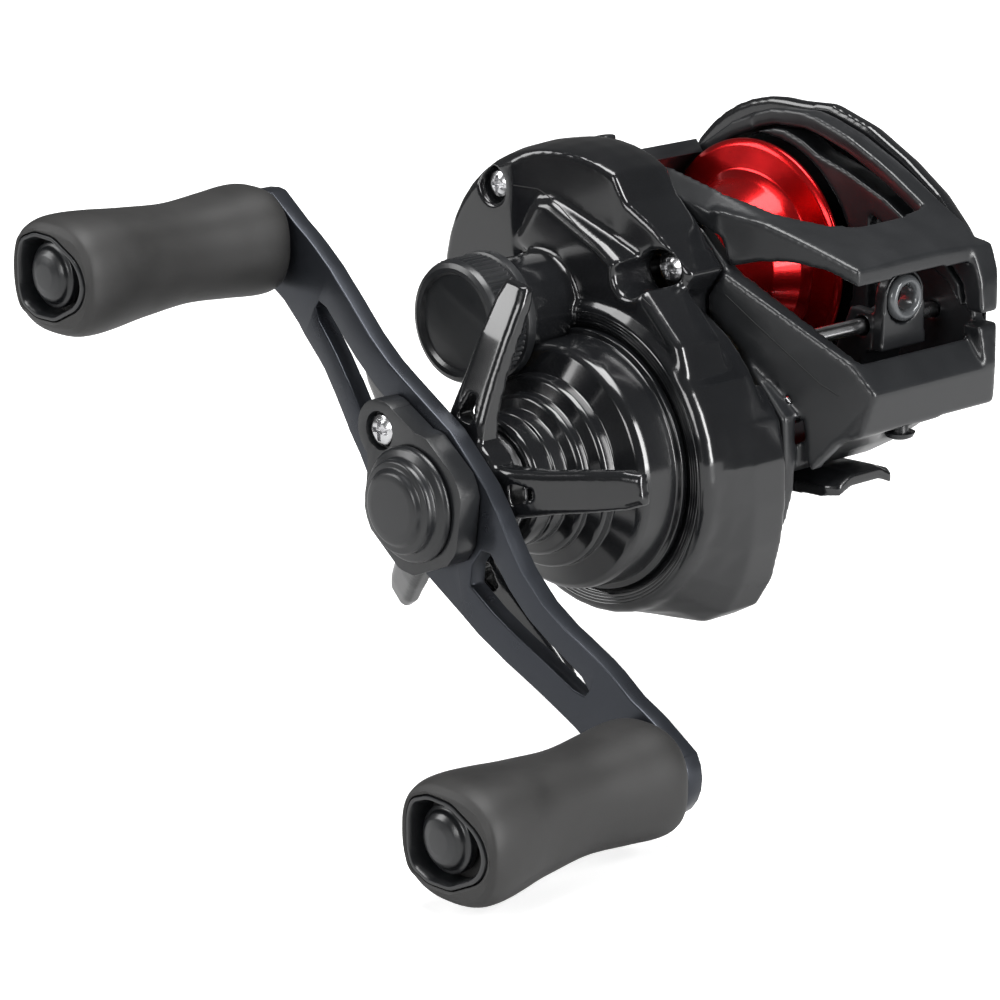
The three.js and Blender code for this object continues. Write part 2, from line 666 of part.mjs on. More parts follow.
const bossProfile = [
  [7.4, -40.4], [4.4, -41], [4.4, -46.2], [8.1, -46.4], [8.6, -45.9], [8.6, -40.9], [10, -40.4],
  [10.4, -39.9], [10.4, -38.9], [12.4, -38.3], [12.9, -37.8], [12.9, -36.5], [15.4, -35.2], [16, -34.2],
  [16.2, -29.4], [17, -29.3], [17, -28.3], [8.6, -28.3], [8.6, -26], [7.4, -26],
];
addPart('drive_shaft', buildShaft(), finishes.steel);
addPart('drive_boss', cut(
  turned(drive, bossProfile, 30),
  rod(spoolAxis, 7.1, -37, -28),
  rod(spoolAxis, 8.6, -46, -36.2, 32),
), finishes.glossBlack);
addPart('reverse_clutch_bearing', tube(drive, 4.6, 7.1, -38, -29), finishes.steel);
addPart('reverse_clutch_sleeve', tube(drive, shaftRadius + gap, 4.3, -39, -26), finishes.steel);
addPart('pinion_bearing', tube(spoolAxis, 2.2, 4.4, -33, -30.8, 24), finishes.steel);

// ---------- level wind ----------

function buildWorm() {
  const points = [[0, -16.9], [1.2, -16.9], [1.2, -11.9]];
  for (let i = 0; i < 6; i += 1) {
    const y = -11.6 + i * 4;
    points.push([2, y], [2, y + 2.6], [1.5, y + 3], [1.5, y + 3.6]);
  }
  points.push([2, 12.4], [1.2, 12.6], [1.2, 16.7], [0, 16.7]);
  return turned(wormAxis, points, 10);
}

const guideEye = { y: guideMiddle, z: 25.2 };
const guideHalf = 3.8;
const pawlLine = { y: guideMiddle, z: wormAxis.z };

function buildLineGuide() {
  const top = arc({ x: guideEye.y, z: guideEye.z }, guideHalf, 0, 180, 12);
  const face = [...top, [guideEye.y - guideHalf - 0.4, 18.6], [guideEye.y + guideHalf + 0.4, 18.6]];
  const plate = section(face).extrude(1.8).rotate([90, 0, 90]).translate([29.2, 0, 0]);
  const y0 = guideMiddle - guideHalf;
  const y1 = guideMiddle + guideHalf;
  const arm = slab([
    [29.4, 18.4], [29.6, 23.4], [25, 23.6], [21, 14], [18.4, 11.6], [18.6, 8.6], [20.2, 7.3],
    [23.6, 7.2], [25.8, 8.4], [26, 13], [27.8, 18.2],
  ], y0, y1);
  return cut(
    union(plate, arm),
    rod(guideBar, guideBar.r + gap, -30, 30, 24),
    rod(wormAxis, 2.3, -30, 30, 24),
    turnedX(guideEye, [[0, 20], [2.6, 20], [2.6, 40], [0, 40]]),
    turnedX(guideEye, [[0, 29.9], [3.35, 29.9], [3.35, 40], [0, 40]]),
    turnedX(pawlLine, [[0, 21], [1.1, 21], [1.1, 30], [0, 30]], 16),
  );
}

addPart('line_guide', buildLineGuide(), finishes.satinBlack);
addPart('line_guide_ring', turnedX(guideEye, [
  [2.3, 28.6], [2.3, 30.2], [3.05, 30.4], [3.05, 31.2], [2.6, 31.7], [2.1, 31.7], [1.7, 31.2],
  [1.7, 29], [1.9, 28.6],
], 22), finishes.ceramic);
addPart('pawl', turnedX(pawlLine, [[0, 23.9], [0.8, 23.9], [0.8, 26], [0, 26]], 12), finishes.steel);
addPart('pawl_cap', turnedX(pawlLine, [
  [0, 26.3], [1.9, 26.3], [1.9, 27], [1.4, 27.4], [0, 27.4],
], 20), finishes.brass);
addPart('level_wind_bar', rod(guideBar, guideBar.r, -11.2, farWall.outer - 1.2, 24), finishes.steel);
addPart('worm_shaft', buildWorm(), finishes.steel);

// ---------- thumb bar ----------

function buildThumbBar() {
  const bar = slab([...arc(spoolAxis, 18.9, 130, 152, 8), ...arc(spoolAxis, 16.8, 152, 130, 8)],
    nearWall.inner + gap, farWall.inner - gap);
  const tongue = slab([...arc(spoolAxis, 17.4, 141, 150, 3), ...arc(spoolAxis, 16.9, 150, 141, 3)], -16.4, -11);
  return union(bar, tongue);
}

addPart('thumb_bar', buildThumbBar(), finishes.satinBlack);
addPart('clutch_plate', slab(
  [...arc(spoolAxis, 17.4, 141, 150, 3), ...arc(spoolAxis, 8.4, 168, 148, 4)], -17.6, -16.7,
), finishes.steel);

// ---------- star drag ----------

const starAngles = [0, 1, 2, 3, 4].map((i) => 9.7 + 72 * i);

function buildStar() {
  const hub = turned(drive, [
    [3.4, -48.6], [3.4, -52.6], [7.4, -52.9], [8.4, -52.2], [8.4, -48.6],
  ]);
  const sections = [
    [6, 3.7, -52.6, 3.4], [10, 3.1, -52, 2.9], [15, 2.7, -50.4, 2.5], [20, 2.6, -48.7, 2.4],
    [24.4, 2.4, -46.9, 2.2], [26.6, 1.9, -45.9, 1.6],
  ];
  const arms = starAngles.map((degrees) => {
    const angle = THREE.MathUtils.degToRad(degrees);
    const along = [Math.cos(angle), Math.sin(angle)];
    const place = (r, t, y) => [
      drive.x + along[0] * r - along[1] * t, y, drive.z + along[1] * r + along[0] * t,
    ];
    const rings = sections.map(([r, half, y, thickness]) => [
      place(r, -half, y + thickness), place(r, half, y + thickness), place(r, half, y + 0.5),
      place(r, half - 0.7, y), place(r, -half + 0.7, y), place(r, -half, y + 0.5),
    ].reverse());
    const arm = skinned(rings);
    const hole = slab([[9.6, -1.5], [12.9, -0.5], [12.9, 0.5], [9.6, 1.5]].map(([r, t]) => {
      const [x, , z] = place(r, t, 0);
      return [x, z];
    }), -56, -40);
    return arm.subtract(hole);
  });
  return cut(union(hub, ...arms), rod(drive, 3.4, -56, -40, 32));
}

addPart('star_drag', buildStar(), finishes.glossBlack);
addPart('star_spacer', tube(drive, shaftRadius + gap, 7.4, -48.2, -46.7), finishes.steel);

// ---------- handle ----------

const handleTurn = THREE.MathUtils.degToRad(handleAngle);

// Point in the handle's plane: s along the arm from the hub, t across it.
function onHandle(s, t) {
  return {
    x: drive.x + s * Math.cos(handleTurn) - t * Math.sin(handleTurn),
    z: drive.z + s * Math.sin(handleTurn) + t * Math.cos(handleTurn),
  };
}

const retainerScrew = onHandle(9.7, -2.9);

function buildArm() {
  const bend = [[16, armHub], [21, -55.4], [27, -54.2], [33, -53.2], [39, armTip], [52.5, armTip]];
  const outer = [...bend.map(([s, y]) => [-s, y]).reverse(), ...bend];
  const band = [...outer, ...outer.map(([s, y]) => [s, y + armThickness]).reverse()];
  const strip = section(band).extrude(30).translate([0, 0, -15]).rotate([0, -handleAngle, 0])
    .translate([drive.x, 0, drive.z]);
  const leading = [[9.2, 3], [8.6, 8], [8, 13], [7.4, 19], [6.9, 25], [6.5, 31], [6.2, 37], [5.8, 41.4]];
  const trailing = [[-4.6, 41.2], [-3.9, 37], [-4, 31], [-3.6, 25], [-3.9, 21], [-4.8, 16.8], [-6, 12.7],
    [-7.3, 9.4], [-8.4, 5.6]];
  const knobEnd = arc({ x: 0.3, z: knobReach }, 5.8, 20, 160, 9);
  const oneEnd = [...leading, ...knobEnd, ...trailing];
  const outline = [...oneEnd, ...oneEnd.map(([t, s]) => [-t, -s])];
  const slotTip = [[3.5, 14], [3.1, 19], [2.6, 24], [2.3, 30], [1.6, 31.8], [0.5, 31.8], [-0.2, 30],
    [-0.2, 24], [-0.5, 20], [-1.1, 17], [-1.9, 13.5]];
  const slotOutlines = [
    [...slotTip, [-1.6, 12.6], [3, 12.6]],
    [...slotTip, [-2.3, 11.2], [-1.4, 9.9], [1.4, 9.9], [3.8, 11.2]].map(([t, s]) => [-t, -s]),
  ];
  const inPlane = (points) => points.map(([t, s]) => {
    const place = onHandle(s, -t);
    return [place.x, place.z];
  });
  const plate = slab(inPlane(outline), -60, -48);
  const slots = slotOutlines.map((points) => slab(inPlane(points), -60, -48));
  return cut(
    strip.intersect(plate),
    ...slots,
    rod(drive, 2.9, -60, -40, 32),
    ...[1, -1].map((side) => rod(onHandle(side * knobReach, 0), 2.5, -60, -40, 24)),
    rod(retainerScrew, 1.3, -60, -40, 16),
  );
}

function buildRetainer() {
  const lobe = rod(retainerScrew, 4, -59.5, armHub - gap, 24);
  const plate = slab(hexagon(drive, 17.2, handleAngle), -59.5, armHub - gap)
    .intersect(rod(drive, 9.2, -60, -50, 32));
  const bridge = slab([[0, -8.4], [9.7, -6.9], [9.7, 1], [3, 8]].map(([s, t]) => {
    const place = onHandle(s, t);
    return [place.x, place.z];
  }), -59.5, armHub - gap);
  return cut(
    union(plate, bridge, lobe),
    slab(hexagon(drive, 10.6, handleAngle), -70, -50),
    rod(retainerScrew, 1.35, -70, -50, 16),
    rod(retainerScrew, 2.5, -70, -58.1, 20),
  );
}

addPart('handle_arm', buildArm(), finishes.anodisedBlack);
addPart('nut_retainer', buildRetainer(), finishes.satinBlack);
addPart('handle_nut', slab(hexagon(drive, 9.9, handleAngle), -59.4, armHub - gap)
  .subtract(rod(drive, 2.8, -70, -50, 24)), finishes.steel);
addPart('nut_cap', turned(drive, [
  [0, capFace], [4.4, capFace], [4.8, -62.9], [4.9, -62.4], [5.8, -62.3], [6, -61.9],
  [6, -60.9], [7.2, -60.4], [7.4, -59.7], [3.2, -59.7], [3.2, -60.4], [0, -60.4],
]), finishes.satinBlack);
addPart('retainer_screw', crossScrew(retainerScrew, -59.6, 2.2, 5.4), finishes.steel);

// ---------- knobs ----------

// Knob sections: y, half width along X, half width along Z, offset along X.
const knobSections = [
  [-88.2, 7.7, 6.4, 1.5], [-87.6, 8.1, 7, 1.5], [-85.6, 8.4, 7.5, 1.4], [-81, 8.2, 7.5, 1.2],
  [-75, 7.6, 7, 0.9], [-68, 7.1, 6.5, 0.6], [-61, 7.3, 6.8, 0.4], [-56.4, 7.5, 7.1, 0.3],
  [-54.4, 7, 6.7, 0.3], [-53.6, 5.9, 5.7, 0.3],
];

function roundedRing(centre, y, halfX, halfZ, offset, power, count) {
  const ring = [];
  for (let i = 0; i < count; i += 1) {
    const angle = (-i * 2 * Math.PI) / count;
    const c = Math.cos(angle);
    const s = Math.sin(angle);
    ring.push([
      centre.x + offset + halfX * Math.sign(c) * Math.abs(c) ** (2 / power), y,
      centre.z + halfZ * Math.sign(s) * Math.abs(s) ** (2 / power),
    ]);
  }
  return ring;
}

// Shield-shaped outline of the knob's end recess, blunter towards +X.
function shield(centre, scale) {
  return [
    [-5.4, -2.2], [-4.6, -4.4], [-1.6, -5.6], [2.4, -5.5], [7.2, -3.1], [8.6, -1], [8.6, 1],
    [7.2, 3.1], [2.4, 5.5], [-1.6, 5.6], [-4.6, 4.4], [-5.4, 2.2],
  ].map(([x, z]) => [centre.x + 0.4 + (x - 0.4) * scale, centre.z + z * scale]);
}

['upper', 'lower'].forEach((place, i) => {
  const axis = onHandle(i === 0 ? knobReach : -knobReach, 0);
  const body = skinned(knobSections.map(([y, a, b, offset]) => roundedRing(axis, y, a, b, offset, 2.5, 24)));
  addPart(`knob_${place}`, cut(
    body,
    rod(axis, 2.6, -86, -50, 24),
    slab(shield(axis, 1), -90, -84.6),
  ), finishes.rubber);
  addPart(`knob_bezel_${place}`, cut(
    slab(shield(axis, 0.96), -88.2, -84.9),
    slab(shield(axis, 0.82), -90, -80),
  ), finishes.satinBlack);
  addPart(`knob_cap_${place}`, turned(axis, [
    [0, -87.9], [2.4, -87.7], [3.4, -87.2], [3.6, -86.8], [4.1, -86.6], [4.1, -85.8], [2.4, -85.2], [0, -85.2],
  ], 20), finishes.satinBlack);
  addPart(`knob_spindle_${place}`, turned(axis, [
    [0, -84.6], [2.2, -84.6], [2.2, -49.6], [3.4, -49.6], [3.4, -49], [0, -48.8],
  ], 24), finishes.steel);
});

// ---------- cast control ----------

function buildCastCap() {
  const teeth = 24;
  const knurl = [];
  for (let i = 0; i < teeth; i += 1) {
    for (const [offset, radius] of [[0, 7.8], [0.5, 8.1]]) {
      const angle = ((i + offset) * 2 * Math.PI) / teeth;
      knurl.push([spoolAxis.x + radius * Math.cos(angle), spoolAxis.z + radius * Math.sin(angle)]);
    }
  }
  const core = turned(spoolAxis, [
    [0, -42.7], [6.2, -42.7], [6.5, capSize.front], [7.3, capSize.front], [7.9, -42.9], [8, -42.2],
    [7.6, -41.9], [7.6, -38.2], [8.3, -38], [8.3, capSize.back], [0, capSize.back],
  ]);
  const bore = union(rod(spoolAxis, 7, -40.9, -30, 32), rod(spoolAxis, 6, -41.6, -40, 32));
  return cut(union(core, slab(knurl, -42.4, -38.1)), bore);
}

addPart('cast_control_cap', buildCastCap(), finishes.satinBlack);
addPart('cast_control_shim', rod(spoolAxis, 5.6, -41.3, -40.5, 24), finishes.brass);

export default reel;
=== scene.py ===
# Low-profile casting reel: finishes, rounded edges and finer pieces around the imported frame.
# Blender works in metres; outlines and stations below are in millimetres and are scaled by mm.
import math

import bmesh
import bpy
from mathutils import Matrix, Vector
from mathutils.bvhtree import BVHTree


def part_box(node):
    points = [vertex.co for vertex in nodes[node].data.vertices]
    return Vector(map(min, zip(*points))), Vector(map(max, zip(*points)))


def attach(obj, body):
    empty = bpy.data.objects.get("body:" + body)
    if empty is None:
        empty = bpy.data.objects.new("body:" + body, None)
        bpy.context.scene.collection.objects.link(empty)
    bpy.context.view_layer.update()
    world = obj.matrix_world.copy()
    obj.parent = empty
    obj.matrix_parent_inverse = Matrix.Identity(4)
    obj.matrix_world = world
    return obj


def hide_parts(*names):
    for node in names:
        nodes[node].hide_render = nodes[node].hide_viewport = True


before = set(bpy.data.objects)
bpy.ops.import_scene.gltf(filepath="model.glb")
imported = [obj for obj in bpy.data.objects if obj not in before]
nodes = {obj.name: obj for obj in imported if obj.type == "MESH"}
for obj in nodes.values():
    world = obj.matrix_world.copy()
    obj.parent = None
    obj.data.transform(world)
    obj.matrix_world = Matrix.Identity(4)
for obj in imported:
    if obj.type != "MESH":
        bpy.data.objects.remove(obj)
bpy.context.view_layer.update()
mm = 0.001


def addSocket(group, name, kind, inOut, value=None):
    socket = group.interface.new_socket(name=name, in_out=inOut, socket_type=kind)
    if value is not None:
        socket.default_value = value
    return socket


def buildGrainGroup():
    # soft mottle and fine tooth for moulded, painted and anodised surfaces
    group = bpy.data.node_groups.new("surfaceGrain", "ShaderNodeTree")
    addSocket(group, "Mottle Scale", "NodeSocketFloat", "INPUT", 60.0)
    addSocket(group, "Tooth Scale", "NodeSocketFloat", "INPUT", 2500.0)
    addSocket(group, "Mottle", "NodeSocketFloat", "OUTPUT")
    addSocket(group, "Tooth", "NodeSocketFloat", "OUTPUT")
    tree, links = group.nodes, group.links
    inputs = tree.new("NodeGroupInput")
    outputs = tree.new("NodeGroupOutput")
    place = tree.new("ShaderNodeTexCoord")
    mottle = tree.new("ShaderNodeTexNoise")
    mottle.inputs["Detail"].default_value = 4
    tooth = tree.new("ShaderNodeTexNoise")
    tooth.inputs["Detail"].default_value = 2
    for noise, scaleName in ((mottle, "Mottle Scale"), (tooth, "Tooth Scale")):
        links.new(place.outputs["Object"], noise.inputs["Vector"])
        links.new(inputs.outputs[scaleName], noise.inputs["Scale"])
    links.new(mottle.outputs["Fac"], outputs.inputs["Mottle"])
    links.new(tooth.outputs["Fac"], outputs.inputs["Tooth"])
    return group


grainGroup = buildGrainGroup()

# each finish: two colours the mottle runs between, roughness range, metal share, coat, grain scales, depth
finishLooks = {
    "glossBlack": dict(dark=(0.0045, 0.0048, 0.0055), light=(0.0085, 0.009, 0.01), rough=(0.14, 0.22),
                       metal=0.0, coat=0.35, mottle=90, tooth=3200, depth=0.012),
    "satinBlack": dict(dark=(0.0065, 0.007, 0.008), light=(0.012, 0.013, 0.0145), rough=(0.28, 0.38),
                       metal=0.0, coat=0.1, mottle=110, tooth=4200, depth=0.03),
    "armBlack": dict(dark=(0.030, 0.033, 0.040), light=(0.042, 0.046, 0.055), rough=(0.26, 0.36),
                     metal=0.7, coat=0.0, mottle=120, tooth=5200, depth=0.03),
    "rubber": dict(dark=(0.011, 0.0108, 0.0105), light=(0.019, 0.0185, 0.018), rough=(0.50, 0.62),
                   metal=0.0, coat=0.0, mottle=140, tooth=6500, depth=0.10),
    "redAnodised": dict(dark=(0.40, 0.004, 0.006), light=(0.58, 0.009, 0.010), rough=(0.20, 0.30),
                        metal=0.9, coat=0.2, mottle=160, tooth=5200, depth=0.02),
    "steel": dict(dark=(0.50, 0.50, 0.51), light=(0.68, 0.68, 0.69), rough=(0.16, 0.28),
                  metal=1.0, coat=0.0, mottle=200, tooth=5200, depth=0.03),
    "brass": dict(dark=(0.45, 0.29, 0.09), light=(0.60, 0.41, 0.15), rough=(0.22, 0.34),
                  metal=1.0, coat=0.0, mottle=180, tooth=5200, depth=0.03),
    "whitePlastic": dict(dark=(0.60, 0.59, 0.54), light=(0.72, 0.71, 0.66), rough=(0.40, 0.52),
                         metal=0.0, coat=0.0, mottle=100, tooth=4200, depth=0.03),
    "ceramic": dict(dark=(0.075, 0.08, 0.085), light=(0.11, 0.115, 0.12), rough=(0.16, 0.26),
                    metal=0.2, coat=0.3, mottle=180, tooth=5200, depth=0.02),
    "carbon": dict(dark=(0.006, 0.006, 0.006), light=(0.014, 0.014, 0.014), rough=(0.55, 0.7),
                   metal=0.0, coat=0.0, mottle=200, tooth=5200, depth=0.08),
    "seamDark": dict(dark=(0.0010, 0.0010, 0.0011), light=(0.002, 0.002, 0.002), rough=(0.6, 0.75),
                     metal=0.0, coat=0.0, mottle=200, tooth=5200, depth=0.02),
}


def buildFinish(name, look):
    material = bpy.data.materials.new(name)
    material.use_nodes = True
    tree, links = material.node_tree.nodes, material.node_tree.links
    shader = tree["Principled BSDF"]
    grain = tree.new("ShaderNodeGroup")
    grain.node_tree = grainGroup
    grain.inputs["Mottle Scale"].default_value = look["mottle"]
    grain.inputs["Tooth Scale"].default_value = look["tooth"]
    colour = tree.new("ShaderNodeMix")
    colour.data_type = "RGBA"
    colour.inputs["A"].default_value = (*look["dark"], 1)
    colour.inputs["B"].default_value = (*look["light"], 1)
    gloss = tree.new("ShaderNodeMapRange")
    gloss.inputs["From Min"].default_value = 0.3
    gloss.inputs["From Max"].default_value = 0.7
    gloss.inputs["To Min"].default_value, gloss.inputs["To Max"].default_value = look["rough"]
    bump = tree.new("ShaderNodeBump")
    bump.inputs["Strength"].default_value = look["depth"]
    bump.inputs["Distance"].default_value = 0.0002
    links.new(grain.outputs["Mottle"], colour.inputs["Factor"])
    links.new(colour.outputs["Result"], shader.inputs["Base Color"])
    links.new(grain.outputs["Mottle"], gloss.inputs["Value"])
    links.new(gloss.outputs["Result"], shader.inputs["Roughness"])
    links.new(grain.outputs["Tooth"], bump.inputs["Height"])
    links.new(bump.outputs["Normal"], shader.inputs["Normal"])
    shader.inputs["Metallic"].default_value = look["metal"]
    shader.inputs["Coat Weight"].default_value = look["coat"]
    shader.inputs["Coat Roughness"].default_value = 0.08
    return material


finishes = {name: buildFinish(name, look) for name, look in finishLooks.items()}
print("finishes ready", len(finishes))

# frame nodes keep their shape: they are welded, rounded or skinned, and shaded by angle

nodeFinish = {
    "glossBlack": ["handle_side_cover", "drive_boss", "palm_side_cover", "star_drag", "reel_foot"],
    "satinBlack": ["frame", "hood", "chin_plug", "brake_dial", "line_guide", "thumb_bar", "nut_retainer",
                   "nut_cap", "knob_bezel_upper", "knob_bezel_lower", "knob_cap_upper", "knob_cap_lower",
                   "cast_control_cap"],
    "armBlack": ["handle_arm"],
    "rubber": ["knob_upper", "knob_lower"],
    "redAnodised": ["spool"],
    "brass": ["drive_gear", "pinion_gear", "pawl_cap", "cast_control_shim"],
    "whitePlastic": ["clutch_yoke", "level_wind_idler", "worm_gear"],
    "ceramic": ["line_guide_ring"],
    "carbon": ["drag_washer_inner", "drag_washer_outer"],
}
finishOfNode = {node: finish for finish, members in nodeFinish.items() for node in members}

edgeRounding = {"handle_arm": 0.4, "nut_retainer": 0.4, "thumb_bar": 0.3, "brake_dial": 0.22}


def buildShadeGroup():
    # smooth shading, broken at edges sharper than a set angle
    group = bpy.data.node_groups.new("shadeByAngle", "GeometryNodeTree")
    addSocket(group, "Geometry", "NodeSocketGeometry", "INPUT")
    addSocket(group, "Angle", "NodeSocketFloat", "INPUT", math.radians(32))
    addSocket(group, "Geometry", "NodeSocketGeometry", "OUTPUT")
    tree, links = group.nodes, group.links
    inputs = tree.new("NodeGroupInput")
    outputs = tree.new("NodeGroupOutput")
    angle = tree.new("GeometryNodeInputMeshEdgeAngle")
    gentle = tree.new("FunctionNodeCompare")
    gentle.operation = "LESS_EQUAL"
    faces = tree.new("GeometryNodeSetShadeSmooth")
    faces.domain = "FACE"
    edges = tree.new("GeometryNodeSetShadeSmooth")
    edges.domain = "EDGE"
    links.new(angle.outputs["Unsigned Angle"], gentle.inputs[0])
    links.new(inputs.outputs["Angle"], gentle.inputs[1])
    links.new(inputs.outputs["Geometry"], faces.inputs["Geometry"])
    links.new(faces.outputs["Geometry"], edges.inputs["Geometry"])
    links.new(gentle.outputs["Result"], edges.inputs["Shade Smooth"])
    links.new(edges.outputs["Geometry"], outputs.inputs["Geometry"])
    return group


shadeGroup = buildShadeGroup()


mouldedSkins = {  # node: voxel size in millimetres, smoothing passes
    "handle_side_cover": (0.30, 18), "hood": (0.30, 14), "palm_side_cover": (0.4, 12), "frame": (0.36, 5),
    "star_drag": (0.26, 6), "line_guide": (0.25, 3), "reel_foot": (0.3, 4),
}


def mouldSkin(piece, voxelMm, passes):
    # one continuous moulded skin with softly rounded edges
    weld = piece.modifiers.new("weld", "WELD")
    weld.merge_threshold = 0.004 * mm
    skin = piece.modifiers.new("skin", "REMESH")
    skin.mode = "VOXEL"
    skin.voxel_size = voxelMm * mm
    skin.use_smooth_shade = True
    relax = piece.modifiers.new("relax", "SMOOTH")
    relax.factor = 0.5
    relax.iterations = passes


def softenEdges(piece, widthMm):
    weld = piece.modifiers.new("weld", "WELD")
    weld.merge_threshold = 0.004 * mm
    if widthMm > 0:
        bevel = piece.modifiers.new("edges", "BEVEL")
        bevel.width = widthMm * mm
        bevel.segments = 3
        bevel.limit_method = "ANGLE"
        bevel.angle_limit = math.radians(30)
        bevel.use_clamp_overlap = True
    shade = piece.modifiers.new("shading", "NODES")
    shade.node_group = shadeGroup


def dressNode(name):
    node = nodes[name]
    if "custom_normal" in node.data.attributes:
        node.data.attributes.remove(node.data.attributes["custom_normal"])
    node.data.materials.clear()
    node.data.materials.append(finishes[finishOfNode.get(name, "steel")])
    if name in mouldedSkins:
        mouldSkin(node, *mouldedSkins[name])
    else:
        softenEdges(node, edgeRounding.get(name, 0.1))


for nodeName in nodes:
    dressNode(nodeName)
print("frame nodes dressed", len(nodes))


def newPiece(name, vertices, faces, finish, body, replaced=()):
    mesh = bpy.data.meshes.new(name)
    mesh.from_pydata(vertices, [], faces)
    work = bmesh.new()
    work.from_mesh(mesh)
    bmesh.ops.remove_doubles(work, verts=work.verts, dist=0.002 * mm)
    bmesh.ops.recalc_face_normals(work, faces=work.faces)
    work.to_mesh(mesh)
    work.free()
    piece = bpy.data.objects.new(name, mesh)
    bpy.context.scene.collection.objects.link(piece)
    mesh.materials.append(finishes[finish])
    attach(piece, body)
    if replaced:
        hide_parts(*replaced)
    return piece


def skinRings(rings, closeEnds=True):
    # quads between rings of equal point count; the ends are closed with fans
    count = len(rings[0])
    vertices = [point for ring in rings for point in ring]
    faces = []
    for r in range(len(rings) - 1):
        for i in range(count):
            j = (i + 1) % count
            faces.append((r * count + i, r * count + j, (r + 1) * count + j, (r + 1) * count + i))
    if closeEnds:
        for end in (0, len(rings) - 1):
            middle = sum((Vector(point) for point in rings[end]), Vector()) / count
            vertices.append(tuple(middle))
            hub = len(vertices) - 1
            faces += [(end * count + i, end * count + (i + 1) % count, hub) for i in range(count)]
    return vertices, faces


def latheRings(centre, profile, steps=96, turn="y"):
    # profile lists (radius, place along the axis) in millimetres; a closed outline goes round once
    rings = []
    for radius, along in profile:
        ring = []
        for i in range(steps):
            angle = 2 * math.pi * i / steps
            a, b = radius * math.cos(angle) * mm, radius * math.sin(angle) * mm
            if turn == "y":
                ring.append((centre[0] + a, along * mm, centre[1] + b))
            else:
                ring.append((along * mm, centre[0] + a, centre[1] + b))
        rings.append(ring)
    return rings


def lathe(name, centre, profile, finish, body, replaced=(), closed=False, turn="y", steps=96):
    outline = list(profile) + ([profile[0]] if closed else [])
    vertices, faces = skinRings(latheRings(centre, outline, steps, turn), closeEnds=not closed)
    piece = newPiece(name, vertices, faces, finish, body, replaced)
    softenEdges(piece, 0)
    return piece


def rounded(profile, radius, steps=3):
    # replaces each sharp corner of an open profile by a short curve
    result = [profile[0]]
    for before, corner, after in zip(profile, profile[1:], profile[2:]):
        a, c, b = Vector(before), Vector(corner), Vector(after)
        reach = min(radius, (a - c).length * 0.45, (b - c).length * 0.45)
        start, end = c + (a - c).normalized() * reach, c + (b - c).normalized() * reach
        for k in range(steps + 1):
            t = k / steps
            result.append(tuple(start * (1 - t) ** 2 + c * (2 * t * (1 - t)) + end * t ** 2))
    result.append(profile[-1])
    return result


def middleOf(name):
    low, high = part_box(name)
    return (low + high) / 2


driveAxis = middleOf("drive_gear")
spoolAxis = middleOf("spool")
driveCentre = (driveAxis.x, driveAxis.z)
spoolCentre = (spoolAxis.x, spoolAxis.z)

# spool, turned from a finer outline
spoolShape = dict(steps=128, round=0.25)
spoolOutline = [
    (1.4, -5.4), (8.2, -6.0), (8.4, -10.3), (13.2, -10.7), (15.4, -11.1), (16.3, -11.0), (16.3, -10.4),
    (15.6, -9.9), (12.2, -9.4), (11.2, -8.3), (9.8, -4.4), (9.8, 5.0), (11.2, 9.0), (12.2, 10.1),
    (15.6, 10.6), (16.3, 11.1), (16.3, 11.7), (15.4, 11.8), (13.2, 11.4), (8.4, 11.0), (8.2, 6.6),
    (1.4, 6.0),
]
lathe("spoolFine", spoolCentre, rounded(spoolOutline, spoolShape["round"]), "redAnodised", "spool_rotor",
      ["spool"], closed=True, steps=spoolShape["steps"])

# handle knobs: waisted rubber grips, a rim and a domed button in the end recess
knobShape = dict(rings=64, around=112, power=2.5, scoop=0.55, recessFloor=-84.7)
knobStations = [  # y, half width, half height, offset along x
    (-88.1, 7.4, 6.1, 1.5), (-87.5, 8.05, 6.9, 1.5), (-85.6, 8.35, 7.45, 1.4), (-81, 8.15, 7.45, 1.2),
    (-75, 7.55, 6.95, 0.9), (-68, 7.05, 6.45, 0.6), (-61, 7.25, 6.75, 0.4), (-56.4, 7.45, 7.05, 0.3),
    (-54.4, 6.95, 6.65, 0.3), (-53.65, 5.9, 5.7, 0.3),
]
shieldOutline = [
    (-5.4, -2.2), (-4.6, -4.4), (-1.6, -5.6), (2.4, -5.5), (7.2, -3.1), (8.6, -1), (8.6, 1),
    (7.2, 3.1), (2.4, 5.5), (-1.6, 5.6), (-4.6, 4.4), (-5.4, 2.2),
]


def stationAt(y):
    # smooth blend between the knob's measured sections
    rows = knobStations
    y = min(max(y, rows[0][0]), rows[-1][0])
    k = max(i for i in range(len(rows) - 1) if rows[i][0] <= y)
    p0, p1 = rows[max(k - 1, 0)], rows[k]
    p2, p3 = rows[k + 1], rows[min(k + 2, len(rows) - 1)]
    span = p2[0] - p1[0]
    t = (y - p1[0]) / span
    values = []
    for c in (1, 2, 3):
        m1 = (p2[c] - p0[c]) / (p2[0] - p0[0]) * span
        m2 = (p3[c] - p1[c]) / (p3[0] - p1[0]) * span
        values.append((2 * t ** 3 - 3 * t ** 2 + 1) * p1[c] + (t ** 3 - 2 * t ** 2 + t) * m1
                      + (3 * t ** 2 - 2 * t ** 3) * p2[c] + (t ** 3 - t ** 2) * m2)
    return values


def smoothStep(low, high, value):
    t = min(max((value - low) / (high - low), 0), 1)
    return t * t * (3 - 2 * t)


